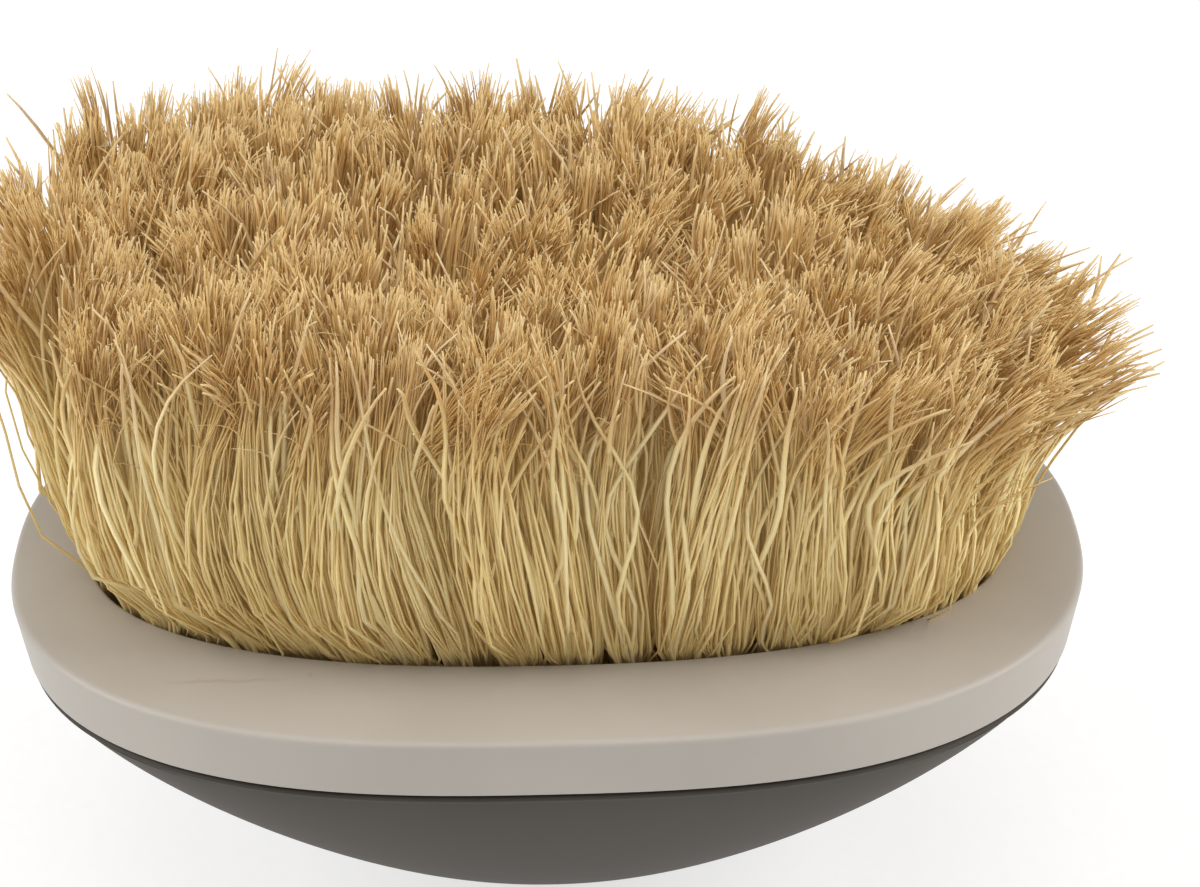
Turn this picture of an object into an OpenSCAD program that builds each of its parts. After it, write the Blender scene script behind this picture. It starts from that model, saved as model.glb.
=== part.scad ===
// Oval palm brush for dry body brushing: natural fibre tufts in a drilled block, held in a
// moulded rim frame, with a domed back under a soft-touch grip cover.
// +Z points up through the bristles; the origin is the middle of the flat on the grip's crown.

/* [Rim frame] */
// Length of the rim, end to end
rim_length = 115; // [105:1:130]
// Width of the rim, side to side
rim_width = 80; // [76:1:90]
// Height of the side band
band_height = 7.1; // [7:0.1:9]
// How far the band pulls in on each side from top to bottom
band_taper = 1; // [0.4:0.1:1.6]
// Radius of the rounded edge between the top face and the band
edge_round = 0.8; // [0.4:0.1:1.2]
// Thickness of the top face
face_thickness = 2; // [1.8:0.1:2.6]
// Thickness of the band's wall
wall_thickness = 2.4; // [2:0.1:3]
// Squareness of the outline's ends: 2 is an ellipse
end_square = 2.7; // [2:0.1:3]
// Squareness of the outline's sides: 2 is an ellipse
side_square = 2.4; // [2:0.1:2.6]

/* [Bristle field] */
// Length of the opening that the bristles come through
opening_length = 98; // [90:1:100]
// Width of the opening
opening_width = 51.6; // [50:0.2:54]
// Squareness of the opening
opening_square = 2.4; // [2:0.1:2.6]
// Distance between neighbouring tufts, along a ring and from ring to ring
tuft_pitch = 5.2; // [5:0.1:6]
// Radius of the drilled tuft holes
hole_r = 2.1; // [1.8:0.1:2.2]
// Depth of the tuft holes
hole_depth = 7.5; // [6:0.5:8]
// Radius of a tuft where it leaves the block
tuft_foot_r = 1.95; // [1.6:0.05:1.95]
// Radius of a tuft at its tip
tuft_tip_r = 2.9; // [2.2:0.1:2.9]
// Height of the tips above the rim's top face, at the middle
bristle_height = 40; // [28:1:44]
// How much shorter the bristles are at the worn +X end
worn_drop = 8; // [0:1:10]
// How far the tips spread along the length, as a factor
spread_length = 1.165; // [1.1:0.005:1.17]
// How far the tips spread across the width, as a factor
spread_width = 1.22; // [1.15:0.01:1.3]

/* [Tuft block] */
// Thickness of the block
block_thickness = 10; // [9:0.5:12]
// How far the block reaches past the opening, under the rim's face
block_overlap = 1.4; // [1:0.1:2]
// Size of an anchor staple: length, thickness, height
anchor_size = [3.7, 0.5, 1.9];

/* [Back and grip] */
// Depth of the dome below the rim
dome_depth = 35; // [28:1:38]
// Thickness of the soft-touch cover
cover_thickness = 1.6; // [1.2:0.1:2]
// Thickness of the rigid back shell
shell_thickness = 2.2; // [1.8:0.1:3]
// Height of the shadow gap between the rim and the cover
shadow_gap = 0.4; // [0.3:0.1:0.6]
// Fullness of the dome's crown: 2 is round, less is more pointed
crown_power = 1.7; // [1.5:0.1:2]
// Fullness of the dome's sides: 0.5 is round, 1 is straight
side_power = 0.87; // [0.7:0.01:0.95]
// How far the cover is set in from the band's lower edge
cover_inset = 0.3; // [0.2:0.1:0.6]
// Height of the flat ground off the dome's crown
crown_flat = 0.8; // [0.5:0.1:1.2]

/* [Screws] */
// Distance of each screw from the middle, along the length
screw_x = 14; // [12:1:18]
// Distance of each screw from the middle, across the width
screw_y = 30.8; // [30.5:0.1:31]
// Radius of the screw's thread
screw_r = 1.4; // [1.2:0.1:1.5]
// Radius of the screw's head
screw_head_r = 2.6; // [2.4:0.1:2.8]
// Height of the screw's head
screw_head_h = 1.6; // [1.4:0.1:1.7]
// Depth of thread in the rim's boss
thread_depth = 4; // [3:0.5:4.5]

/* [Hidden] */
ring_count = 5;

outline_points = 72;
dome_slices = 12;
fit_gap = 0.15;
cut = 1;

rim_l = rim_length / 2;
rim_w = rim_width / 2;
open_l = opening_length / 2;
open_w = opening_width / 2;
block_l = open_l + block_overlap;
block_w = open_w + block_overlap;
cover_l = rim_l - band_taper - cover_inset;
cover_w = rim_w - band_taper - cover_inset;

// Heights, from the crown flat up
rim_bottom_z = dome_depth + shadow_gap - crown_flat;
cover_top_z = rim_bottom_z - shadow_gap;
rim_top_z = rim_bottom_z + band_height;
block_top_z = rim_top_z - face_thickness - 0.05;
block_bottom_z = block_top_z - block_thickness;
seat_z = rim_bottom_z - 3.2;

boss_r = 3.4;
pillar_r = 3.7;
pilot_r = screw_r - fit_gap;
clear_r = screw_r + fit_gap;
bore_r = screw_head_r + 0.2;
spigot_h = 2.4;
spigot_t = 1.2;
post_r = 3;
edge_steps = 4;

// The first tuft ring stands this far inside the opening
first_ring_inset = tuft_foot_r + 0.75;
root_length = hole_depth - anchor_size[2] - 0.4;
// The leaning fan starts clear of the root's flat top
fan_start = 0.5;

// Oval of superelliptic form: half length, half width and the squareness of ends and sides
function oval(hl, hw, ex, ey, n = outline_points) =
    [for (i = [0 : n - 1])
        let (c = cos(360 * i / n), s = sin(360 * i / n))
        [hl * sign(c) * pow(abs(c), 2 / ex), hw * sign(s) * pow(abs(s), 2 / ey)]];

// Running length along a closed outline, as pairs of length and point number
function running_length(p) =
    [for (i = 0, s = 0; i <= len(p);
          s = s + norm(p[(i + 1) % len(p)] - p[i % len(p)]), i = i + 1) [s, i]];

// Point at a fractional point number of a closed outline
function between(p, t) =
    let (i = floor(t), f = t - i)
    p[i % len(p)] * (1 - f) + p[(i + 1) % len(p)] * f;

// Points evenly spaced round an oval, about one pitch apart
function even_ring(hl, hw) =
    let (p = oval(hl, hw, opening_square, opening_square, 240),
         table = running_length(p),
         total = table[len(p)][0],
         count = floor(total / tuft_pitch))
    [for (k = [0 : count - 1])
        between(p, lookup((k + 0.5) * total / count, table))];

// Points evenly spaced along the middle line, for the innermost row
function middle_row(hl) =
    let (count = floor(2 * hl / tuft_pitch) + 1)
    [for (k = [0 : count - 1]) [(k - (count - 1) / 2) * tuft_pitch, 0]];

function ring_l(i) = open_l - first_ring_inset - (i - 1) * tuft_pitch;
function ring_w(i) = open_w - first_ring_inset - (i - 1) * tuft_pitch;
function tuft_feet(i) =
    i == ring_count ? middle_row(ring_l(i)) : even_ring(ring_l(i), ring_w(i));

// Height of a tuft's tip: level, falling away towards the worn end
function tip_z(x) =
    rim_top_z + bristle_height - worn_drop * pow(max(0, x / open_l), 1.6);
function tuft_foot(p) = [p[0], p[1], block_top_z];
function tuft_tip(p) = [p[0] * spread_length, p[1] * spread_width, tip_z(p[0])];

// Lower part of an oval dome below z = 0; each slice is rounder the nearer it is to the crown
function slice_z(r, depth) = -depth * pow(max(0, 1 - pow(r, crown_power)), side_power);

module oval_plate(hl, hw, ex, ey, h) {
    linear_extrude(height = h)
        polygon(oval(hl, hw, ex, ey));
}

module dome(hl, hw, depth) {
    slice_t = 0.01;
    hull() {
        for (k = [1 : dome_slices]) {
            r = sin(90 * k / dome_slices);
            translate([0, 0, slice_z(r, depth) - slice_t])
                oval_plate(hl * r, hw * r, 2 + (end_square - 2) * r * r,
                           2 + (side_square - 2) * r * r, slice_t);
        }
        translate([0, 0, -depth])
            oval_plate(1, 1, 2, 2, slice_t);
    }
}

// Places its children with +Z along a tuft's own axis, z = 0 at the block's face
module along_tuft(p) {
    d = tuft_tip(p) - tuft_foot(p);
    lean = acos(d[2] / norm(d));
    turn = atan2(d[1], d[0]);
    translate(tuft_foot(p))
        rotate([0, lean, turn])
            children();
}

module at_screws() {
    for (sx = [-1, 1])
        for (sy = [-1, 1])
            translate([sx * screw_x, sy * screw_y, 0])
                children();
}

// Outer form of the rim: a rounded top edge over a band that pulls in downwards
module rim_body() {
    slice_t = 0.01;
    hull() {
        for (k = [0 : edge_steps]) {
            a = 90 * k / edge_steps;
            inset = edge_round * (1 - sin(a));
            translate([0, 0, rim_top_z - edge_round * (1 - cos(a)) - slice_t])
                oval_plate(rim_l - inset, rim_w - inset, end_square, side_square, slice_t);
        }
        translate([0, 0, rim_bottom_z])
            oval_plate(rim_l - band_taper, rim_w - band_taper, end_square, side_square, slice_t);
    }
}

module rim_frame() {
    inner_l = rim_l - band_taper - wall_thickness;
    inner_w = rim_w - band_taper - wall_thickness;
    color("#D9D2C4") {
        difference() {
            rim_body();
            translate([0, 0, rim_bottom_z - cut])
                oval_plate(inner_l, inner_w, end_square, side_square,
                           band_height - face_thickness + cut);
            translate([0, 0, rim_bottom_z])
                oval_plate(open_l, open_w, opening_square, opening_square, band_height + cut);
        }
        difference() {
            at_screws()
                translate([0, 0, rim_bottom_z])
                    cylinder(h = band_height - face_thickness + fit_gap, r = boss_r, $fn = 48);
            at_screws()
                translate([0, 0, rim_bottom_z - cut])
                    cylinder(h = thread_depth + 0.4 + cut, r = pilot_r, $fn = 32);
        }
    }
}

// Blank under the holes, and a drilled layer on top of it
module tuft_block() {
    color("#8A6B45") {
        translate([0, 0, block_bottom_z])
            oval_plate(block_l, block_w, opening_square, opening_square,
                       block_thickness - hole_depth);
        translate([0, 0, block_top_z - hole_depth])
            linear_extrude(height = hole_depth)
                difference() {
                    polygon(oval(block_l, block_w, opening_square, opening_square));
                    for (i = [1 : ring_count])
                        for (p = tuft_feet(i))
                            translate(p)
                                circle(r = hole_r, $fn = 24);
                }
    }
}

// Each tuft is a straight root in its hole and, above the block, a fan that leans outwards
module bristle_ring(i) {
    color(i % 2 == 0 ? "#B9A274" : "#C8B283")
        for (p = tuft_feet(i)) {
            reach = norm(tuft_tip(p) - tuft_foot(p));
            translate([p[0], p[1], block_top_z - root_length])
                cylinder(h = root_length, r = tuft_foot_r, $fn = 24);
            along_tuft(p)
                translate([0, 0, fan_start])
                    cylinder(h = reach - fan_start, r1 = tuft_foot_r, r2 = tuft_tip_r, $fn = 24);
        }
}

// Flat staples at the bottoms of the holes, which the doubled fibres hang over
module anchor_ring(i) {
    color("#B0B4B8")
        for (p = tuft_feet(i))
            translate([p[0] - anchor_size[0] / 2, p[1] - anchor_size[1] / 2,
                       block_top_z - hole_depth + 0.15])
                cube(anchor_size);
}

module back_shell() {
    outer_l = cover_l - cover_thickness;
    outer_w = cover_w - cover_thickness;
    outer_d = dome_depth - cover_thickness;
    spigot_l = rim_l - band_taper - wall_thickness - fit_gap;
    spigot_w = rim_w - band_taper - wall_thickness - fit_gap;
    post_spots = [[-30, 0], [0, 14], [0, -14], [30, 0]];
    color("#4A4742") {
        difference() {
            union() {
                difference() {
                    union() {
                        translate([0, 0, cover_top_z])
                            dome(outer_l, outer_w, outer_d);
                        translate([0, 0, cover_top_z - fit_gap])
                            oval_plate(outer_l, outer_w, end_square, side_square,
                                       shadow_gap);
                        translate([0, 0, cover_top_z - fit_gap])
                            oval_plate(spigot_l, spigot_w, end_square, side_square,
                                       spigot_h);
                    }
                    translate([0, 0, cover_top_z])
                        dome(outer_l - shell_thickness, outer_w - shell_thickness,
                             outer_d - shell_thickness);
                    translate([0, 0, cover_top_z - cut])
                        oval_plate(spigot_l - spigot_t, spigot_w - spigot_t, end_square,
                                   side_square, spigot_h + 2 * cut);
                }
                // screw pillars, and posts that press the block up against the rim's face
                intersection() {
                    union() {
                        translate([0, 0, cover_top_z])
                            dome(outer_l, outer_w, outer_d);
                        translate([0, 0, cover_top_z - fit_gap])
                            oval_plate(outer_l, outer_w, end_square, side_square,
                                       shadow_gap);
                    }
                    union() {
                        at_screws()
                            cylinder(h = rim_top_z, r = pillar_r, $fn = 48);
                        for (s = post_spots)
                            translate([s[0], s[1], 0])
                                cylinder(h = block_bottom_z - 0.05, r = post_r, $fn = 32);
                    }
                }
            }
            at_screws() {
                cylinder(h = rim_top_z, r = clear_r, $fn = 32);
                translate([0, 0, -cut])
                    cylinder(h = seat_z + cut, r = bore_r, $fn = 48);
            }
        }
    }
}

module grip_cover() {
    color("#6E6A64")
        difference() {
            translate([0, 0, cover_top_z])
                dome(cover_l, cover_w, dome_depth);
            translate([0, 0, cover_top_z + 0.01])
                dome(cover_l - cover_thickness + 0.02, cover_w - cover_thickness + 0.02,
                     dome_depth - cover_thickness + 0.02);
            translate([-rim_l, -rim_w, -cut])
                cube([rim_length, rim_width, cut]);
        }
}

module case_screws() {
    color("#9A9CA0")
        at_screws() {
            translate([0, 0, seat_z - screw_head_h])
                cylinder(h = screw_head_h, r = screw_head_r, $fn = 48);
            translate([0, 0, seat_z - 0.1])
                cylinder(h = rim_bottom_z + thread_depth - seat_z + 0.1, r = pilot_r, $fn = 32);
        }
}

rim_frame();
tuft_block();
back_shell();
grip_cover();
case_screws();
bristle_ring(1);  // bristle_ring_1
bristle_ring(2);  // bristle_ring_2
bristle_ring(3);  // bristle_ring_3
bristle_ring(4);  // bristle_ring_4
bristle_ring(5);  // bristle_ring_5
anchor_ring(1);  // anchor_ring_1
anchor_ring(2);  // anchor_ring_2
anchor_ring(3);  // anchor_ring_3
anchor_ring(4);  // anchor_ring_4
anchor_ring(5);  // anchor_ring_5
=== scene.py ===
"""Oval palm brush for dry body brushing, standing on its domed back with the bristles up."""
import math

import bmesh
import bpy
import numpy as np
from mathutils import Matrix, Vector


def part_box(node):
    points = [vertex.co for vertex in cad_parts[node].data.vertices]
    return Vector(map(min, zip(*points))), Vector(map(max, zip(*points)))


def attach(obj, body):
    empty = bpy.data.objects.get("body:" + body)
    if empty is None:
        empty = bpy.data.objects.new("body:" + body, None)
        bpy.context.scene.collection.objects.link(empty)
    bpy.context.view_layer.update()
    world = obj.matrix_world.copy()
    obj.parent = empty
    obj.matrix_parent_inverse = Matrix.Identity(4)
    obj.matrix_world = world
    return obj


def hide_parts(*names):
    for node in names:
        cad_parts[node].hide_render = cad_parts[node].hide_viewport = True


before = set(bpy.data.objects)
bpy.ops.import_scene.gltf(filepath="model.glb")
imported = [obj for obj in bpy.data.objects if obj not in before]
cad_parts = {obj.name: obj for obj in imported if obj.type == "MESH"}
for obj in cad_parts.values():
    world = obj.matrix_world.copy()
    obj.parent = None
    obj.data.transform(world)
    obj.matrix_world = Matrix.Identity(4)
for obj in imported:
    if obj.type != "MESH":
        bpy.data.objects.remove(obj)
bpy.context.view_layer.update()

MM = 0.001
BODY = "root"

# Sizes of the brush that its nodes' boxes don't tell, in metres
BAND_TAPER = 1.0 * MM
EDGE_ROUND = 0.8 * MM
FACE_THICKNESS = 2.0 * MM
WALL_THICKNESS = 2.4 * MM
BLOCK_OVERLAP = 1.4 * MM
COVER_THICKNESS = 1.6 * MM
DOME_DEPTH = 35.0 * MM
CROWN_POWER, SIDE_POWER = 1.7, 0.87
END_SQUARE, SIDE_SQUARE = 2.7, 2.4
OPENING_SQUARE = 2.4
TUFT_PITCH = 5.2 * MM
TUFT_FOOT_R = 1.95 * MM
FIRST_RING_INSET = TUFT_FOOT_R + 0.75 * MM
RING_COUNT = 5

OUTLINE_POINTS = 224


def half_size(node):
    """Half length and half width of a node, and its lowest and highest z."""
    low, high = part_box(node)
    return (high.x - low.x) / 2, (high.y - low.y) / 2, low.z, high.z


RIM_L, RIM_W, RIM_BOTTOM, RIM_TOP = half_size("rim_frame")
BLOCK_L, BLOCK_W, _, BLOCK_TOP = half_size("tuft_block")
COVER_L, COVER_W, COVER_BOTTOM, COVER_TOP = half_size("grip_cover")
OPEN_L, OPEN_W = BLOCK_L - BLOCK_OVERLAP, BLOCK_W - BLOCK_OVERLAP


# ---------------------------------------------------------------- ovals and lofts

def oval_points(half_l, half_w, end_square, side_square, turns):
    """Points of a superelliptic oval at the given turns, in radians."""
    c, s = np.cos(turns), np.sin(turns)
    x = half_l * np.sign(c) * np.abs(c) ** (2 / end_square)
    y = half_w * np.sign(s) * np.abs(s) ** (2 / side_square)
    return np.stack([x, y], 1)


def even_turns(half_l, half_w, end_square, side_square, count):
    """Turns that give evenly spaced points round an oval."""
    turns = np.linspace(0, 2 * np.pi, 20001)
    points = oval_points(half_l, half_w, end_square, side_square, turns)
    steps = np.hypot(*np.diff(points, axis=0).T)
    run = np.concatenate([[0], np.cumsum(steps)])
    return np.interp(np.arange(count) * run[-1] / count, run, turns)


def oval_loft(name, loops, closed):
    """A surface through ovals (half length, half width, end and side squareness, z).
    The first loop is a circle moved onto its oval, and each next one is extruded from it."""
    turns = even_turns(RIM_L, RIM_W, END_SQUARE, SIDE_SQUARE, OUTLINE_POINTS)
    bm = bmesh.new()
    bmesh.ops.create_circle(bm, segments=OUTLINE_POINTS, radius=1)
    bm.verts.ensure_lookup_table()
    ring = list(bm.verts)
    edges = list(bm.edges)
    first_edges = edges
    for k, (half_l, half_w, end_square, side_square, z) in enumerate(loops):
        if k:
            grown = bmesh.ops.extrude_edge_only(bm, edges=edges)["geom"]
            fresh = {v for v in grown if isinstance(v, bmesh.types.BMVert)}
            edges = [e for e in grown if isinstance(e, bmesh.types.BMEdge)
                     and e.verts[0] in fresh and e.verts[1] in fresh]
            ring = [next(e.other_vert(v) for e in v.link_edges if e.other_vert(v) in fresh)
                    for v in ring]
        for v, (x, y) in zip(ring, oval_points(half_l, half_w, end_square, side_square, turns)):
            v.co = (x, y, z)
    if closed:
        bmesh.ops.bridge_loops(bm, edges=first_edges + edges)
    else:
        bmesh.ops.contextual_create(bm, geom=edges)
    bmesh.ops.recalc_face_normals(bm, faces=bm.faces)
    return finished(name, bm)


def finished(name, bm, smooth=True):
    """Makes an object of a bmesh, at the origin."""
    mesh = bpy.data.meshes.new(name)
    bm.to_mesh(mesh)
    bm.free()
    if smooth:
        mesh.shade_smooth()
    piece = bpy.data.objects.new(name, mesh)
    bpy.context.scene.collection.objects.link(piece)
    return piece


def rounded(corner_in, corner_z, radius, start, end, steps):
    """Quarter round in the rim's section: pairs of inset and height from turn start to end."""
    return [(corner_in + radius * math.cos(a), corner_z + radius * math.sin(a))
            for a in np.linspace(math.radians(start), math.radians(end), steps + 1)]


# ---------------------------------------------------------------- rim

def make_rim():
    """Moulded rim: a band that pulls in downwards, a softly crowned face and a rounded inner edge."""
    def outer(inset, z):
        return (RIM_L - inset, RIM_W - inset, END_SQUARE, SIDE_SQUARE, z)

    def inner(grow, z):
        return (OPEN_L + grow, OPEN_W + grow, OPENING_SQUARE, OPENING_SQUARE, z)

    def between(share, z):
        a, b = outer(EDGE_ROUND, z), inner(0.6 * MM, z)
        return tuple(p + (q - p) * share for p, q in zip(a, b))

    low_round = 0.35 * MM
    lip = 0.6 * MM
    crown = 0.1 * MM
    loops = [outer(BAND_TAPER + WALL_THICKNESS, RIM_BOTTOM),
             outer(BAND_TAPER + 1.2 * MM, RIM_BOTTOM)]
    for inset, z in rounded(0, 0, low_round, 270, 360, 4):
        taper = BAND_TAPER * (1 - (low_round + z) / (RIM_TOP - RIM_BOTTOM - EDGE_ROUND))
        loops.append(outer(taper + low_round - inset, RIM_BOTTOM + low_round + z))
    for share in (0.3, 0.6, 0.85):
        loops.append(outer(BAND_TAPER * (1 - share),
                           RIM_BOTTOM + share * (RIM_TOP - RIM_BOTTOM - EDGE_ROUND)))
    for inset, z in rounded(0, 0, EDGE_ROUND, 0, 90, 7):
        loops.append(outer(EDGE_ROUND - inset, RIM_TOP - EDGE_ROUND + z - crown * (z / EDGE_ROUND)))
    for share in (0.06, 0.2, 0.4, 0.6, 0.8, 0.94):
        loops.append(between(share, RIM_TOP - crown * (2 * share - 1) ** 4))
    for k in range(7):
        a = math.radians(90 * k / 6)
        loops.append(inner(lip * (1 - math.sin(a)),
                           RIM_TOP - crown - lip * (1 - math.cos(a))))
    loops.append(inner(0, RIM_TOP - FACE_THICKNESS))
    inner_wall = BAND_TAPER + WALL_THICKNESS
    loops.append(outer(inner_wall + 0.6 * MM, RIM_TOP - FACE_THICKNESS))
    loops.append(outer(inner_wall, RIM_TOP - FACE_THICKNESS - 0.5 * MM))
    return oval_loft("rim_moulding", loops, closed=True)


# ---------------------------------------------------------------- grip cover

def dome_z(r):
    """Depth below the dome's top of its slice at a share r of the full outline."""
    return -DOME_DEPTH * max(0.0, 1 - r ** CROWN_POWER) ** SIDE_POWER


def make_grip():
    """Soft-touch skin: an oval dome with a rolled upper edge and a small flat on its crown."""
    def slice_at(r, z, inset=0.0):
        return (COVER_L * r - inset, COVER_W * r - inset,
                2 + (END_SQUARE - 2) * r * r, 2 + (SIDE_SQUARE - 2) * r * r, z)

    roll = 0.45 * MM
    loops = [slice_at(1, COVER_TOP, COVER_THICKNESS * 0.8)]
    for k in range(6):
        a = math.radians(90 * k / 5)
        loops.append(slice_at(1, COVER_TOP - roll * (1 - math.cos(a)), roll * (1 - math.sin(a))))
    lowest = None
    for k in range(1, 46):
        r = math.cos(math.radians(90 * k / 46))
        z = COVER_TOP + dome_z(r)
        if z < COVER_TOP - roll * 1.15 and z > COVER_BOTTOM + 0.05 * MM:
            loops.append(slice_at(r, z))
            lowest = r
    loops.append(slice_at(lowest * 0.93, COVER_BOTTOM))
    grip = oval_loft("grip_skin", loops, closed=False)
    bm = bmesh.new()
    bm.from_mesh(grip.data)
    bmesh.ops.solidify(bm, geom=list(bm.faces), thickness=COVER_THICKNESS * 0.7)
    bm.to_mesh(grip.data)
    bm.free()
    grip.data.shade_smooth()
    return grip


# ---------------------------------------------------------------- bristles

def tuft_feet(ring):
    """Tuft places on one ring: evenly along an oval, or a straight row in the middle."""
    half_l = OPEN_L - FIRST_RING_INSET - (ring - 1) * TUFT_PITCH
    half_w = OPEN_W - FIRST_RING_INSET - (ring - 1) * TUFT_PITCH
    if ring == RING_COUNT:
        count = math.floor(2 * half_l / TUFT_PITCH) + 1
        return np.array([((k - (count - 1) / 2) * TUFT_PITCH, 0) for k in range(count)])
    turns = np.linspace(0, 2 * np.pi, 241)
    points = oval_points(half_l, half_w, OPENING_SQUARE, OPENING_SQUARE, turns)
    run = np.concatenate([[0], np.cumsum(np.hypot(*np.diff(points, axis=0).T))])
    count = math.floor(run[-1] / TUFT_PITCH)
    at = (np.arange(count) + 0.5) * run[-1] / count
    return np.stack([np.interp(at, run, points[:, 0]), np.interp(at, run, points[:, 1])], 1)


# Steps along a coarse bristle, and those of them that a fine one keeps
STEPS = np.array([0, .05, .11, .18, .26, .34, .42, .50, .58, .66, .74, .82, .89, .95, 1.0])
FINE_STEPS = np.array([0, 2, 4, 6, 8, 10, 12, 13, 14])
TAPER = np.interp(STEPS, [0, 0.6, 0.8, 0.9, 1.0], [1, 1, 0.85, 0.68, 0.32])
# How far past the rim's inner edge a fibre may be at its first four steps
FOOT_ROOM = np.array([-0.3, -0.15, 0.3, 1.5]) * MM
SIDES = 3
# Each tuft parts into wisps of fine fibres, each with a few coarse strands; some coarse
# fibres run loose, and thin splinters split from the ends
WISPS = 4
OUTER_RINGS = 2
OUTER_WISP_FIBRES = 44
INNER_WISP_FIBRES = 28
STRANDS = 6
LOOSE_FIBRES = 7
SPLITS = 16
SPLIT_POINTS = 5
# The steps between which a splinter leaves its fibre
SPLIT_FROM, SPLIT_BEFORE = 9, 13
SPLIT_TAPER = np.array([1, 1, 0.85, 0.65, 0.3])
# Radius of a fine bristle by ring: the inner tufts have fewer, drawn stouter
FINE_RS = np.array([0.165, 0.18, 0.21, 0.21, 0.21]) * MM
COARSE_R = 0.29 * MM
FINE_R_RANGE = (0.75, 1.2)
COARSE_R_RANGE = (0.7, 1.35)
# A piece stays under 200,000 triangles
PART_TRIANGLES = 190000
SEED = 7
ROOT_Z = BLOCK_TOP - 1.2 * MM

# How much fine fibres, strands and loose fibres differ, in that order: sizes in mm, the turn
# of the curl in radians, and how much paler they are
FINE, STRAND, LOOSE = 0, 1, 2
KIND_FAN = np.array([0.3, 0.7, 1.6])
KIND_GATHER = np.array([1.3, 1.05, 0.3])
KIND_BEND = np.array([0.2, 0.6, 1.4])
KIND_RIPPLE = np.array([0.2, 0.5, 0.6])
KIND_CURL_TURN = np.array([0.3, 0.5, 1.5])
KIND_TONE = np.array([0, 0.22, 0.34])

# How far the tips lean along the length, by the tuft's place: least a little right of the middle
LEAN_PLACES = np.array([-47, -30, -16, 0, 20, 35, 47]) * MM
LEANS = np.array([-4.0, -6.5, -6.5, -4.5, 0.5, 4.2, 7.6]) * MM
# Share of the length where that lean is fully reached
LEAN_ENDS = np.array([0.9, 0.65, 0.62, 0.7, 0.8, 0.9, 1.0])
LEAN_ACROSS = 1.22


def smooth_share(x, low, high):
    """Rises smoothly from 0 to 1 between low and high."""
    t = np.clip((x - low) / (high - low), 0, 1)
    return t * t * (3 - 2 * t)


def field_height(x, y):
    """Height of the bristle tips above the rim: even at one end and worn down to the other."""
    worn = smooth_share(x, 6 * MM, 43 * MM)
    high = smooth_share(y, -10 * MM, 20 * MM) * smooth_share(-x, 8 * MM, 40 * MM)
    hollow = np.exp(-((x - 2 * MM) / (22 * MM)) ** 2 - ((y + 8 * MM) / (18 * MM)) ** 2)
    corner = smooth_share(y, -22 * MM, 0) * smooth_share(-x, 38 * MM, 48 * MM)
    return (41 - 11 * worn + 3.5 * high + 1.5 * corner) * MM - 3.0 * MM * hollow


def sway(x, y):
    """Slow lean that neighbouring tufts share, so that the field parts and crosses in places."""
    a, b = x / MM, y / MM
    sx = np.sin(a / 5.1 + b / 9 + 0.4) + 0.6 * np.sin(a / 2.9 - b / 6 + 2.1)
    sy = np.sin(a / 6.3 - b / 4.7 + 1.3) + 0.6 * np.sin(a / 3.7 + b / 5 + 4)
    return 1.0 * MM * sx, 0.8 * MM * sy


def spread(rng, count, size):
    """Random offsets along and across, normally spread."""
    return rng.normal(0, 1, (count, 2)) * size


def sort_fibres(count, wisp_fibres, rng):
    """The tuft, wisp and kind of every fibre in count tufts."""
    groups = [WISPS * wisp_fibres, WISPS * STRANDS, LOOSE_FIBRES]
    wisp_of = np.concatenate([np.repeat(np.arange(WISPS), wisp_fibres),
                              np.repeat(np.arange(WISPS), STRANDS),
                              rng.integers(0, WISPS, LOOSE_FIBRES)])
    tuft = np.repeat(np.arange(count), sum(groups))
    wisp = tuft * WISPS + np.tile(wisp_of, count)
    return tuft, wisp, np.tile(np.repeat([FINE, STRAND, LOOSE], groups), count)


def wisp_sides(count, rng):
    """Where each wisp stands in its tuft, as a share of the tuft's radius."""
    golden = 0.618
    wisps = count * WISPS
    turn = np.tile(np.arange(WISPS) * 2 * np.pi * golden, count) + rng.normal(0, 0.3, wisps)
    reach = rng.uniform(0.12, 1, wisps) ** 0.5
    return np.stack([np.cos(turn), np.sin(turn)], 1) * reach[:, None]


def foot_offsets(sides, rng):
    """Places of the feet within the round hole of their tuft."""
    off = sides * TUFT_FOOT_R * 0.8 + spread(rng, len(sides), 0.55 * MM)
    size = np.hypot(*off.T)
    return off * np.minimum(1, (TUFT_FOOT_R - FINE_RS[0]) / np.maximum(size, 1e-9))[:, None]


def lean_share(x):
    """Share of the lean reached at each step: early on the left, late on the worn right."""
    s = STEPS[None, :]
    full_at = np.interp(x, LEAN_PLACES, LEAN_ENDS)[:, None]
    early = np.sin(np.pi / 2 * np.minimum(s / full_at, 1.35) ** 0.9)
    late = s ** 2.5
    along = early + (late - early) * smooth_share(x, -20 * MM, 46 * MM)[:, None]
    across = np.sin(np.pi / 2 * (s / 0.95).clip(0, 1.1) ** 0.95)
    return np.stack([along, np.broadcast_to(across, along.shape)], 2)


def tip_heights(x, y, wisp, kind, gather, rng):
    """Heights of the tips above the rim, shorter towards the outside of a wisp."""
    n, wisps = len(x), wisp.max() + 1
    height = field_height(x, y) + (1.4 * MM + rng.normal(0, 1.3 * MM, wisps))[wisp]
    height += rng.normal(0, 0.5 * MM, n) - np.where(kind == LOOSE, 0, 1.4) * np.hypot(*gather.T)
    # about one in eight has broken off short
    return height - np.where(rng.random(n) < 0.12, rng.uniform(1, 7, n) * MM, 0)


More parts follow.
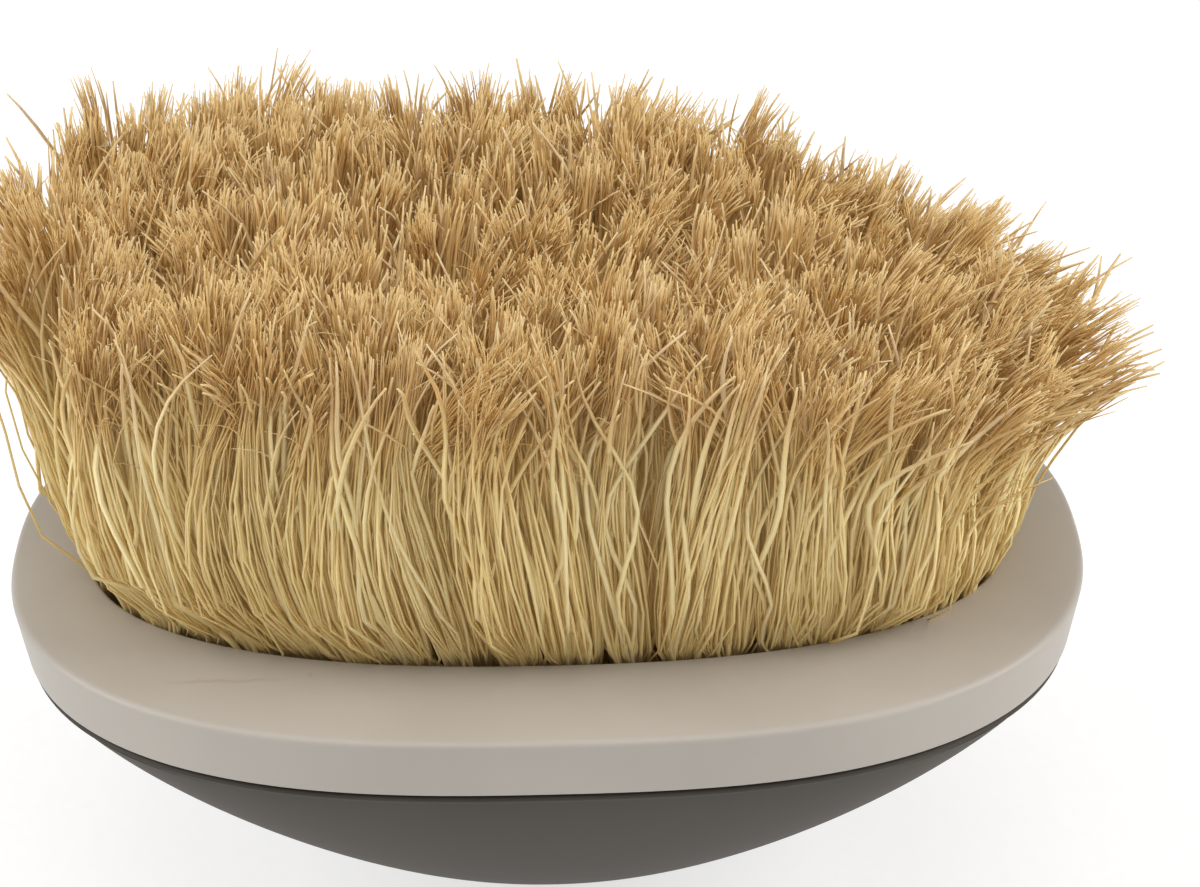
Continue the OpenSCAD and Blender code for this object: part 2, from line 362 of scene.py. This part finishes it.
def bend_fibres(paths, wisp, kind, rng):
    """Slow bends that a wisp shares, and smaller ones of each fibre's own."""
    s = STEPS[None, :]
    shared = rng.normal(0, 0.8 * MM, (wisp.max() + 1, 2, 2))[wisp]
    own = rng.normal(0, 1, (len(paths), 2, 2)) * KIND_BEND[kind][:, None, None] * MM
    bend = shared + own
    paths[:, :, :2] += bend[:, :1] * np.sin(np.pi * s)[:, :, None]
    paths[:, :, :2] += 0.5 * bend[:, 1:] * np.sin(2 * np.pi * s)[:, :, None]


def curl_tips(paths, wisp, kind, rng):
    """Bends the upper half over, mostly one way in a wisp."""
    n, wisps = len(paths), wisp.max() + 1
    curl = np.clip((STEPS[None, :] - 0.5) / 0.5, 0, 1) ** 1.8
    turn = rng.normal(0.3, 1.5, wisps)[wisp]
    turn += rng.normal(0, 1, n) * KIND_CURL_TURN[kind]
    size = np.minimum(rng.gamma(3.0, 1.35 * MM, wisps), 6 * MM)[wisp]
    size *= rng.uniform(0.7, 1.3, n) + 0.35 * (kind == STRAND)
    size = np.where(kind == LOOSE, np.minimum(rng.gamma(3.5, 1.6 * MM, n), 8 * MM), size)
    paths[:, :, 0] += (np.cos(turn) * size)[:, None] * curl
    paths[:, :, 1] += (np.sin(turn) * size)[:, None] * curl
    paths[:, :, 2] -= (0.4 * size)[:, None] * curl ** 1.5


def ripple_fibres(paths, kind, rng):
    """Small waves, a little under two along a fibre, that start above the foot."""
    s = STEPS[None, :]
    size = rng.normal(0, 1, (len(paths), 2)) * KIND_RIPPLE[kind][:, None] * MM
    phase = rng.uniform(0, 2 * np.pi, len(paths))[:, None]
    wave = np.sin(3.6 * np.pi * s + phase) * np.minimum(1, 4 * s)
    paths[:, :, :2] += size[:, None] * wave[:, :, None]


def hold_in_opening(paths):
    """Keeps the feet inside the rim's inner edge."""
    low = paths[:, :len(FOOT_ROOM)]
    inside = (np.abs(low[:, :, 0]) / (OPEN_L + FOOT_ROOM)) ** OPENING_SQUARE
    inside += (np.abs(low[:, :, 1]) / (OPEN_W + FOOT_ROOM)) ** OPENING_SQUARE
    low[:, :, :2] *= (np.maximum(inside, 1) ** (-1 / OPENING_SQUARE))[:, :, None]


def tuft_fibres(feet, wisp_fibres, rng):
    """Centre lines of all fibres of some tufts, as an array of fibre, step and coordinate,
    with each fibre's tone and kind."""
    count = len(feet)
    tuft, wisp, kind = sort_fibres(count, wisp_fibres, rng)
    n, wisps = len(tuft), count * WISPS
    sides = wisp_sides(count, rng)
    foot_off = foot_offsets(sides[wisp], rng)
    centre = feet[tuft]
    x, y = centre.T

    lean = np.stack([np.interp(x, LEAN_PLACES, LEANS), y * (LEAN_ACROSS - 1)], 1)
    lean += np.stack(sway(x, y), 1)
    lean += spread(rng, count, 0.6 * MM)[tuft]
    fan = (sides * 2.6 * MM + spread(rng, wisps, 0.9 * MM))[wisp]
    fan += spread(rng, n, KIND_FAN[kind][:, None] * MM)
    gather = spread(rng, n, KIND_GATHER[kind][:, None] * MM)
    height = tip_heights(x, y, wisp, kind, gather, rng)
    tip_z = RIM_TOP + height - 0.12 * np.hypot(*(lean + fan).T)

    s = STEPS[None, :]
    paths = np.empty((n, len(STEPS), 3))
    paths[:, :, :2] = (centre + foot_off)[:, None] + lean[:, None] * lean_share(x)
    paths[:, :, :2] += (fan - foot_off * 0.6)[:, None] * (s ** 0.85)[:, :, None]
    # a wisp is widest below its middle and its fibres meet again at the tip
    paths[:, :, :2] += gather[:, None] * np.sin(np.pi * s ** 0.62)[:, :, None]
    paths[:, :, 2] = ROOT_Z + (tip_z - ROOT_Z)[:, None] * s
    bend_fibres(paths, wisp, kind, rng)
    curl_tips(paths, wisp, kind, rng)
    ripple_fibres(paths, kind, rng)
    hold_in_opening(paths)
    tone = rng.normal(0.46, 0.07, n) + rng.normal(0, 0.07, wisps)[wisp] + KIND_TONE[kind]
    return paths, np.clip(tone, 0, 1), kind


def split_ends(paths, tone, rng, count):
    """Thin curled splinters that fray from the last part of the fibres."""
    parent = rng.integers(0, len(paths), count)
    start = rng.integers(SPLIT_FROM, SPLIT_BEFORE, count)
    base = paths[parent, start]
    along = paths[parent, start + 1] - base
    along /= np.linalg.norm(along, axis=1)[:, None]
    side = rng.normal(0, 1, (count, 3))
    side[:, 2] *= 0.6
    side /= np.linalg.norm(side, axis=1)[:, None]
    length = rng.uniform(2, 5, count) * MM
    t = np.linspace(0, 1, SPLIT_POINTS)[None, :, None]
    out = base[:, None] + length[:, None, None] * (
        along[:, None] * (t - 0.6 * t ** 2) + side[:, None] * (0.25 * t + 0.7 * t ** 2))
    tint = np.clip(tone[parent] + rng.normal(0.1, 0.15, count), 0, 1)
    return out, tint, STEPS[start]


def fibre_section(name):
    """The small polygon that is drawn along every fibre."""
    section = bpy.data.curves.new(name, "CURVE")
    corners = section.splines.new("POLY")
    corners.points.add(SIDES - 1)
    for k, point in enumerate(corners.points):
        turn = 2 * math.pi * k / SIDES
        point.co = (math.cos(turn), math.sin(turn), 0, 1)
    corners.use_cyclic_u = True
    holder = bpy.data.objects.new(name, section)
    bpy.context.scene.collection.objects.link(holder)
    return section, holder


def fibre_mesh(name, groups):
    """Draws the fibres as curves and turns them into one mesh of closed tubes."""
    curve = bpy.data.curves.new(name, "CURVE")
    curve.dimensions = "3D"
    curve.resolution_u = 1
    section, section_holder = fibre_section(name + "_section")
    curve.bevel_mode = "OBJECT"
    curve.bevel_object = section_holder
    for paths, radii, _, _ in groups:
        count, points = paths.shape[:2]
        line = np.ones((count, points, 4))
        line[:, :, :3] = paths
        for i in range(count):
            spline = curve.splines.new("POLY")
            spline.points.add(points - 1)
            spline.points.foreach_set("co", line[i].ravel())
            spline.points.foreach_set("radius", radii[i])
    holder = bpy.data.objects.new(name + "_lines", curve)
    bpy.context.scene.collection.objects.link(holder)
    graph = bpy.context.evaluated_depsgraph_get()
    mesh = bpy.data.meshes.new_from_object(holder.evaluated_get(graph), depsgraph=graph)
    bpy.data.objects.remove(holder)
    bpy.data.curves.remove(curve)
    bpy.data.objects.remove(section_holder)
    bpy.data.curves.remove(section)
    mesh.name = name
    bm = bmesh.new()
    bm.from_mesh(mesh)
    bmesh.ops.holes_fill(bm, edges=[e for e in bm.edges if e.is_boundary], sides=SIDES)
    bmesh.ops.recalc_face_normals(bm, faces=bm.faces)
    bm.to_mesh(mesh)
    bm.free()
    return mesh


def fibre_piece(name, groups):
    """One piece of fibres. Each group gives paths, radii and, for the colour, the share along
    the bristle at each point and one tone for each fibre."""
    mesh = fibre_mesh(name, groups)
    sizes = [paths.shape[:2] for paths, _, _, _ in groups]
    along = np.concatenate([np.repeat(share.ravel(), SIDES) for _, _, share, _ in groups])
    tone = np.concatenate([np.repeat(tones, points * SIDES)
                           for (_, points), (_, _, _, tones) in zip(sizes, groups)])
    assert len(along) == len(mesh.vertices), (len(along), len(mesh.vertices))
    for label, values in (("along", along), ("tone", tone)):
        mesh.attributes.new(label, "FLOAT", "POINT").data.foreach_set(
            "value", values.astype(np.float32))
    bake_map(mesh, sizes)
    mesh.shade_smooth()
    piece = bpy.data.objects.new(name, mesh)
    bpy.context.scene.collection.objects.link(piece)
    return piece


def bake_map(mesh, sizes):
    """Gives every fibre its own cell of a grid as its UV map."""
    while mesh.uv_layers:
        mesh.uv_layers.remove(mesh.uv_layers[0])
    layer = mesh.uv_layers.new(name="OFBake")
    total = sum(count for count, _ in sizes)
    columns = math.ceil(math.sqrt(total * 1.6))
    rows = math.ceil(total / columns)
    fibre = np.concatenate([np.repeat(np.arange(c), p * SIDES) + sum(q for q, _ in sizes[:k])
                            for k, (c, p) in enumerate(sizes)])
    step = np.concatenate([np.tile(np.repeat(np.arange(p) / (p - 1), SIDES), c)
                           for c, p in sizes])
    side = np.tile(np.arange(SIDES), len(fibre) // SIDES)
    corner = np.empty(len(mesh.loops), np.int32)
    mesh.loops.foreach_get("vertex_index", corner)
    first = np.empty(len(mesh.polygons), np.int32)
    mesh.polygons.foreach_get("loop_start", first)
    face = np.repeat(np.arange(len(first)), np.diff(np.append(first, len(corner))))
    across = side[corner].astype(float)
    # the last side of a fibre runs from its last edge back to its first
    has_first = np.bincount(face, weights=across == 0, minlength=len(first)) > 0
    has_last = np.bincount(face, weights=across == SIDES - 1, minlength=len(first)) > 0
    wraps = has_first & has_last
    across[wraps[face] & (across == 0)] = SIDES
    column, row = fibre[corner] % columns, fibre[corner] // columns
    u = (column + 0.1 + 0.8 / SIDES * across) / columns
    v = (row + 0.06 + 0.88 * step[corner]) / rows
    layer.data.foreach_set("uv", np.stack([u, v], 1).astype(np.float32).ravel())


def make_bristles(look):
    """Fibres of all tufts, ring by ring, in parts of a few tufts that follow one another."""
    rng = np.random.default_rng(SEED)
    for ring in range(1, RING_COUNT + 1):
        feet = tuft_feet(ring)
        wisp_fibres = OUTER_WISP_FIBRES if ring <= OUTER_RINGS else INNER_WISP_FIBRES
        parts = math.ceil(len(feet) * tuft_triangles(wisp_fibres) / PART_TRIANGLES)
        for part, some in enumerate(np.array_split(feet, parts)):
            piece = fibre_piece(f"bristles_{ring}_{part + 1}",
                                bristle_groups(some, wisp_fibres, FINE_RS[ring - 1], rng))
            stand_in(piece, f"bristle_ring_{ring}", look)


def tuft_triangles(wisp_fibres):
    """Triangles in one tuft, a little over the true count."""
    points = (WISPS * wisp_fibres * len(FINE_STEPS) + SPLITS * SPLIT_POINTS
              + (WISPS * STRANDS + LOOSE_FIBRES) * len(STEPS))
    return 2 * SIDES * points


def bristle_groups(feet, wisp_fibres, fine_r, rng):
    """Splinters, fine fibres and coarse fibres of some tufts, as fibre_piece takes them."""
    paths, tone, kind = tuft_fibres(feet, wisp_fibres, rng)
    fray, tint, begin = split_ends(paths, tone, rng, SPLITS * len(feet))
    fray_r = 0.5 * FINE_RS[0] * rng.uniform(0.7, 1.2, len(fray))
    share = begin[:, None] + (1 - begin)[:, None] * np.linspace(0.2, 1, SPLIT_POINTS)[None]
    groups = [(fray, fray_r[:, None] * SPLIT_TAPER, share, tint)]
    for which, keep, radius, (least, most) in (
            (kind == FINE, FINE_STEPS, fine_r, FINE_R_RANGE),
            (kind != FINE, np.arange(len(STEPS)), COARSE_R, COARSE_R_RANGE)):
        r = radius * rng.uniform(least, most, which.sum())
        steps = np.tile(STEPS[keep], (len(r), 1))
        groups.append((paths[which][:, keep], r[:, None] * TAPER[keep], steps, tone[which]))
    return groups


# Two fibres that have come out and been caught: at the foot on the left, and across the
# right end. Heights are above the rim.
STRAY_FIBRES = [
    (0.18, [(-40.4, -17.5, 1.5), (-39.4, -18.1, 2.4), (-38.2, -18.8, 3.3), (-37.1, -19.6, 4.1)]),
    (0.12, [(40.6, -16.8, 10.9), (42.9, -16.6, 11.5), (44.9, -16.7, 11.8), (46.9, -16.9, 12.0)]),
]


def make_strays(look):
    """The caught fibres. No CAD node stands for them."""
    groups = []
    for radius, points in STRAY_FIBRES:
        path = np.array([points]) * MM
        path[:, :, 2] += RIM_TOP
        count = path.shape[1]
        groups.append((path, radius * MM * np.linspace(1, 0.6, count)[None],
                       np.full((1, count), 0.4), np.array([0.95])))
    piece = fibre_piece("stray_fibres", groups)
    piece.data.materials.append(look)
    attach(piece, BODY)


# ---------------------------------------------------------------- materials

def linear(hex_colour):
    """An sRGB hex colour as linear RGBA."""
    parts = [int(hex_colour[k:k + 2], 16) / 255 for k in (1, 3, 5)]
    return [p / 12.92 if p <= 0.04045 else ((p + 0.055) / 1.055) ** 2.4 for p in parts] + [1.0]


def add(tree, kind, inputs={}, stops=(), **settings):
    """Adds a node. Each input is a value, or an output socket to link from."""
    node = tree.nodes.new("ShaderNode" + kind)
    for key, value in settings.items():
        setattr(node, key, value)
    for key, value in inputs.items():
        if isinstance(value, bpy.types.NodeSocket):
            tree.links.new(value, node.inputs[key])
        else:
            node.inputs[key].default_value = value
    if stops:
        elements = node.color_ramp.elements
        while len(elements) < len(stops):
            elements.new(0.5)
        for element, (place, colour) in zip(elements, stops):
            element.position = place
            element.color = linear(colour)
    return node


def new_look(name):
    """An empty node material and its output node."""
    look = bpy.data.materials.new(name)
    look.use_nodes = True
    look.node_tree.nodes.clear()
    return look, look.node_tree, add(look.node_tree, "OutputMaterial")


def tampico_fibre():
    """Tampico, the pale leaf fibre of an agave, combed, looped and cut, then frayed by use:
    straw yellow along the bristle with pale tips, darkened at the foot as painted shade where
    the fibres crowd into the block, and browner towards the worn ends, partly the fibre's own
    colour and partly painted shade for the depth between the tip clumps."""
    look, tree, output = new_look("tampico_fibre")
    along = add(tree, "Attribute", attribute_name="along")
    tone = add(tree, "Attribute", attribute_name="tone")
    # the ramp's dark start, up to 0.05, is painted shade at the foot where the fibres enter the block
    length = add(tree, "ValToRGB", {"Fac": along.outputs["Fac"]}, stops=[
        (0.0, "#8A6534"), (0.05, "#BF9657"), (0.11, "#EBD493"), (0.4, "#F0DDA2"),
        # the stops from 0.78 to 0.95 are browner: partly worn fibre and partly painted shade for the
        # depth between the tip clumps
        (0.62, "#EEDCA4"), (0.78, "#E0C486"), (0.88, "#C69C60"), (0.95, "#C39A5E"),
        (1.0, "#DABD88")])
    fibre = add(tree, "ValToRGB", {"Fac": tone.outputs["Fac"]}, stops=[
        (0.0, "#B68D50"), (0.3, "#DDBA75"), (0.55, "#ECD093"), (0.8, "#F4E3B3"),
        (1.0, "#F9F0D4")])
    mixed = add(tree, "Mix", {0: 0.35, 6: length.outputs["Color"], 7: fibre.outputs["Color"]},
                data_type="RGBA", blend_type="MIX")
    # halves the colour again towards the foot: painted shade in the holes of the block
    foot = add(tree, "MapRange", {"Value": along.outputs["Fac"], "From Min": 0.03,
                                  "From Max": 0.12, "To Min": 0.5, "To Max": 1.0})
    shaded = add(tree, "Mix", {0: 1.0, 6: mixed.outputs[2], 7: foot.outputs["Result"]},
                 data_type="RGBA", blend_type="MULTIPLY")
    place = add(tree, "TexCoord")
    # flecks of bark and dirt, about 0.3 mm
    fleck = add(tree, "TexNoise", {"Vector": place.outputs["Object"], "Scale": 1600.0,
                                   "Detail": 2.0})
    rough = add(tree, "MapRange", {"Value": fleck.outputs["Fac"], "From Min": 0.35,
                                   "From Max": 0.65, "To Min": 0.45, "To Max": 0.65})
    shader = add(tree, "BsdfPrincipled", {
        "Base Color": shaded.outputs[2], "Roughness": rough.outputs["Result"], "IOR": 1.53,
        "Specular IOR Level": 0.25, "Emission Color": shaded.outputs[2],
        # not how fibre behaves: it lifts the dark gaps, for the light that pale fibres pass on
        "Emission Strength": 0.038})
    tree.links.new(shader.outputs[0], output.inputs["Surface"])
    return look


def dried_drop(tree, place, under):
    """A dried drop on the rim's face, near the front: a round spot with a ragged edge."""
    middle = (-24.5 * MM, -27.0 * MM, RIM_TOP)
    spot = add(tree, "VectorMath", {0: place.outputs["Object"], 1: middle}, operation="DISTANCE")
    ragged = add(tree, "TexNoise", {"Vector": place.outputs["Object"], "Scale": 1500.0})
    edge = add(tree, "Math", {0: ragged.outputs["Fac"], 1: 0.9 * MM,
                              2: spot.outputs["Value"]}, operation="MULTIPLY_ADD")
    drop = add(tree, "MapRange", {"Value": edge.outputs[0], "From Min": 0.45 * MM,
                                  "From Max": 0.9 * MM, "To Min": 0.5, "To Max": 0.0},
               interpolation_type="SMOOTHSTEP")
    return add(tree, "Mix", {0: drop.outputs["Result"], 6: under, 7: linear("#7F6C45")},
               data_type="RGBA")


def rubbed_line(tree, place, under):
    """A faint rubbed line along the rim's face, near the front: 6 to 14 mm long, not quite
    straight, and fading at its sides and ends."""
    middle_x, middle_y = -33 * MM, -27.9 * MM
    line_place = add(tree, "Mapping", {"Vector": place.outputs["Object"],
                                       "Location": (-middle_x, -middle_y, 0)})
    axes = add(tree, "SeparateXYZ", {0: line_place.outputs[0]})
    wobble = add(tree, "TexNoise", {"Vector": place.outputs["Object"], "Scale": 400.0})
    bent = add(tree, "Math", {0: wobble.outputs["Fac"], 1: 1.0 * MM, 2: axes.outputs["Y"]},
               operation="MULTIPLY_ADD")
    offset = add(tree, "Math", {0: bent.outputs[0], 1: 0.5 * MM}, operation="SUBTRACT")
    width = add(tree, "Math", {0: offset.outputs[0]}, operation="ABSOLUTE")
    thin = add(tree, "MapRange", {"Value": width.outputs[0], "From Min": 0.05 * MM,
                                  "From Max": 0.5 * MM, "To Min": 0.3, "To Max": 0.0})
    reach = add(tree, "Math", {0: axes.outputs["X"]}, operation="ABSOLUTE")
    short = add(tree, "MapRange", {"Value": reach.outputs[0], "From Min": 3 * MM,
                                   "From Max": 7 * MM, "To Min": 1.0, "To Max": 0.0})
    both = add(tree, "Math", {0: thin.outputs["Result"], 1: short.outputs["Result"]},
               operation="MULTIPLY")
    return add(tree, "Mix", {0: both.outputs[0], 6: under, 7: linear("#937F66")},
               data_type="RGBA")


def cream_abs():
    """ABS moulded in cream in a finely eroded steel mould: a soft, even matt face whose fine
    grain catches the light a little, with faint handling marks."""
    look, tree, output = new_look("cream_abs")
    place = add(tree, "TexCoord")
    # slow drift of the tint, about 20 mm across
    drift = add(tree, "TexNoise", {"Vector": place.outputs["Object"], "Scale": 50.0, "Detail": 3.0})
    tint = add(tree, "ValToRGB", {"Fac": drift.outputs["Fac"]}, stops=[
        (0.3, "#ABA59D"), (0.7, "#B2ACA4")])
    stained = dried_drop(tree, place, tint.outputs["Color"])
    rubbed = rubbed_line(tree, place, stained.outputs[2])
    # eroded mould grain, 0.15 mm in the plastic and drawn at 0.35 mm so that it shows
    grain = add(tree, "TexNoise", {"Vector": place.outputs["Object"], "Scale": 2800.0,
                                   "Detail": 2.0})
    bump = add(tree, "Bump", {"Height": grain.outputs["Fac"], "Strength": 0.25,
                              "Distance": 0.02 * MM})
    rough = add(tree, "MapRange", {"Value": drift.outputs["Fac"], "To Min": 0.42,
                                   "To Max": 0.52})
    shader = add(tree, "BsdfPrincipled", {
        "Base Color": rubbed.outputs[2], "Roughness": rough.outputs["Result"], "IOR": 1.53,
        "Normal": bump.outputs["Normal"]})
    tree.links.new(shader.outputs[0], output.inputs["Surface"])
    return look


def grey_elastomer():
    """Thermoplastic elastomer moulded over the back: a dry, soft-touch grey that spreads the
    light, with a fine pebbled grain."""
    look, tree, output = new_look("grey_elastomer")
    place = add(tree, "TexCoord")
    cloud = add(tree, "TexNoise", {"Vector": place.outputs["Object"], "Scale": 70.0, "Detail": 4.0})
    tint = add(tree, "ValToRGB", {"Fac": cloud.outputs["Fac"]}, stops=[
        (0.3, "#433E38"), (0.7, "#49443E")])
    # pebbled grain, drawn at 0.4 mm
    grain = add(tree, "TexNoise", {"Vector": place.outputs["Object"], "Scale": 2500.0,
                                   "Detail": 2.0})
    bump = add(tree, "Bump", {"Height": grain.outputs["Fac"], "Strength": 0.3,
                              "Distance": 0.03 * MM})
    rough = add(tree, "MapRange", {"Value": cloud.outputs["Fac"], "To Min": 0.56,
                                   "To Max": 0.68})
    shader = add(tree, "BsdfPrincipled", {
        "Base Color": tint.outputs["Color"], "Roughness": rough.outputs["Result"],
        "IOR": 1.5, "Specular IOR Level": 0.25,
        "Normal": bump.outputs["Normal"]})
    tree.links.new(shader.outputs[0], output.inputs["Surface"])
    return look


def shade_line_polypropylene():
    """Polypropylene for the hidden back shell: dull, slightly waxy, tinted near black so that its
    flange in the gap under the rim shows as a painted shade line.
    """
    look, tree, output = new_look("shade_line_polypropylene")
    place = add(tree, "TexCoord")
    cloud = add(tree, "TexNoise", {"Vector": place.outputs["Object"], "Scale": 120.0, "Detail": 2.0})
    # near black: the flange in the gap under the rim shows as the painted shade line there
    tint = add(tree, "ValToRGB", {"Fac": cloud.outputs["Fac"]}, stops=[
        (0.3, "#1F1D1B"), (0.7, "#272522")])
    shader = add(tree, "BsdfPrincipled", {
        "Base Color": tint.outputs["Color"], "Roughness": 0.5, "IOR": 1.49})
    tree.links.new(shader.outputs[0], output.inputs["Surface"])
    return look


def oiled_beech():
    """Beech, planed, drilled and oiled dark: fine straight grain with short darker flecks."""
    look, tree, output = new_look("oiled_beech")
    place = add(tree, "TexCoord")
    # grain lines about 0.8 mm apart, stretched along the block
    run = add(tree, "Mapping", {"Vector": place.outputs["Object"], "Scale": (0.08, 1.0, 1.0)})
    grain = add(tree, "TexNoise", {"Vector": run.outputs[0], "Scale": 1200.0, "Detail": 4.0})
    tint = add(tree, "ValToRGB", {"Fac": grain.outputs["Fac"]}, stops=[
        (0.35, "#6B4A28"), (0.6, "#8F6A40")])
    bump = add(tree, "Bump", {"Height": grain.outputs["Fac"], "Strength": 0.2,
                              "Distance": 0.05 * MM})
    shader = add(tree, "BsdfPrincipled", {
        "Base Color": tint.outputs["Color"], "Roughness": 0.6, "IOR": 1.5,
        "Normal": bump.outputs["Normal"]})
    tree.links.new(shader.outputs[0], output.inputs["Surface"])
    return look


def rolled_steel(name, colour_low, colour_high):
    """Steel wire or screw stock, rolled and zinc plated: grey metal with fine drawn lines."""
    look, tree, output = new_look(name)
    place = add(tree, "TexCoord")
    run = add(tree, "Mapping", {"Vector": place.outputs["Object"], "Scale": (0.1, 1.0, 1.0)})
    # drawn lines about 0.2 mm apart
    lines = add(tree, "TexNoise", {"Vector": run.outputs[0], "Scale": 5000.0, "Detail": 2.0})
    tint = add(tree, "ValToRGB", {"Fac": lines.outputs["Fac"]}, stops=[
        (0.35, colour_low), (0.65, colour_high)])
    rough = add(tree, "MapRange", {"Value": lines.outputs["Fac"], "To Min": 0.28,
                                   "To Max": 0.45})
    shader = add(tree, "BsdfPrincipled", {
        "Base Color": tint.outputs["Color"], "Metallic": 1.0,
        "Roughness": rough.outputs["Result"]})
    tree.links.new(shader.outputs[0], output.inputs["Surface"])
    return look


def studio_paper():
    """Matt white paper on a light table, so that it also lights the brush from below."""
    look, tree, output = new_look("studio_paper")
    place = add(tree, "TexCoord")
    tooth = add(tree, "TexNoise", {"Vector": place.outputs["Object"], "Scale": 600.0})
    tint = add(tree, "ValToRGB", {"Fac": tooth.outputs["Fac"]}, stops=[
        (0.3, "#9D9C9A"), (0.7, "#A3A2A0")])
    shader = add(tree, "BsdfPrincipled", {
        "Base Color": tint.outputs["Color"], "Roughness": 0.9, "IOR": 1.45,
        "Emission Color": (1, 1, 1, 1), "Emission Strength": 0.7})
    tree.links.new(shader.outputs[0], output.inputs["Surface"])
    return look


# ---------------------------------------------------------------- build

def stand_in(piece, node, look):
    """A new piece that stands for a CAD node."""
    piece.data.materials.append(look)
    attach(piece, BODY)
    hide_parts(node)


def refinish(node, look):
    """Puts a look on a CAD node that is shown as it is."""
    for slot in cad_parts[node].material_slots:
        slot.material = look


stand_in(make_rim(), "rim_frame", cream_abs())
stand_in(make_grip(), "grip_cover", grey_elastomer())
fibre_look = tampico_fibre()
make_bristles(fibre_look)
make_strays(fibre_look)
refinish("back_shell", shade_line_polypropylene())
refinish("tuft_block", oiled_beech())
refinish("case_screws", rolled_steel("plated_screw_steel", "#85878A", "#A9ABAE"))
staple_look = rolled_steel("flat_staple_steel", "#8D8F92", "#B2B4B6")
for ring in range(1, RING_COUNT + 1):
    refinish(f"anchor_ring_{ring}", staple_look)


# ---------------------------------------------------------------- studio

def make_floor():
    """A wide flat floor."""
    bm = bmesh.new()
    bmesh.ops.create_grid(bm, x_segments=4, y_segments=4, size=3.0)
    floor = finished("studio_floor", bm, smooth=False)
    floor.data.materials.append(studio_paper())


def add_softbox(name, place, aim, size, power, colour):
    """A square soft light at place, turned to aim."""
    lamp = bpy.data.lights.new(name, "AREA")
    lamp.shape = "SQUARE"
    lamp.size = size
    lamp.energy = power
    lamp.color = colour
    holder = bpy.data.objects.new(name, lamp)
    bpy.context.scene.collection.objects.link(holder)
    holder.location = place
    holder.rotation_euler = (Vector(aim) - Vector(place)).to_track_quat("-Z", "Y").to_euler()


def make_light():
    """A dim room and four softboxes: above, in front and at both ends."""
    world = bpy.data.worlds.new("studio_air")
    bpy.context.scene.world = world
    world.use_nodes = True
    world.node_tree.nodes["Background"].inputs["Color"].default_value = (1.0, 0.99, 0.97, 1)
    world.node_tree.nodes["Background"].inputs["Strength"].default_value = 0.08
    middle = (0, 0, RIM_TOP)
    add_softbox("softbox_top", (-0.1, 0.2, 0.9), middle, 1.1, 3.6, (1.0, 0.99, 0.97))
    add_softbox("softbox_front", (0.05, -0.5, 0.8), middle, 0.7, 2.7, (1.0, 0.99, 0.97))
    add_softbox("softbox_left", (-0.8, -0.1, 0.55), middle, 0.6, 6.0, (1.0, 0.99, 0.97))
    add_softbox("softbox_right", (0.8, -0.1, 0.55), middle, 0.6, 6.4, (1.0, 0.98, 0.95))


def make_camera():
    """Camera in front of the brush's long side, about 30 degrees above its rim."""
    turn, rise, roll = math.radians(1.397), math.radians(29.70), math.radians(-0.526)
    distance = 371 * MM
    aim = Vector((6.206 * MM, 18.864 * MM, RIM_TOP))
    forward = Vector((math.sin(turn) * math.cos(rise), math.cos(turn) * math.cos(rise),
                      -math.sin(rise)))
    side = Vector((math.cos(turn), -math.sin(turn), 0))
    top = side.cross(forward)
    across = side * math.cos(roll) + top * math.sin(roll)
    upward = top * math.cos(roll) - side * math.sin(roll)
    data = bpy.data.cameras.new("camera")
    data.sensor_width = 36.0
    data.lens = 98.06
    data.clip_start, data.clip_end = 0.01, 10.0
    camera = bpy.data.objects.new("camera", data)
    bpy.context.scene.collection.objects.link(camera)
    axes = Matrix((across, upward, -forward)).transposed()
    camera.matrix_world = Matrix.Translation(aim - forward * distance) @ axes.to_4x4()
    bpy.context.scene.camera = camera


make_floor()
make_light()
make_camera()
bpy.context.scene.view_settings.view_transform = "Standard"
bpy.context.scene.cycles.diffuse_bounces = 8
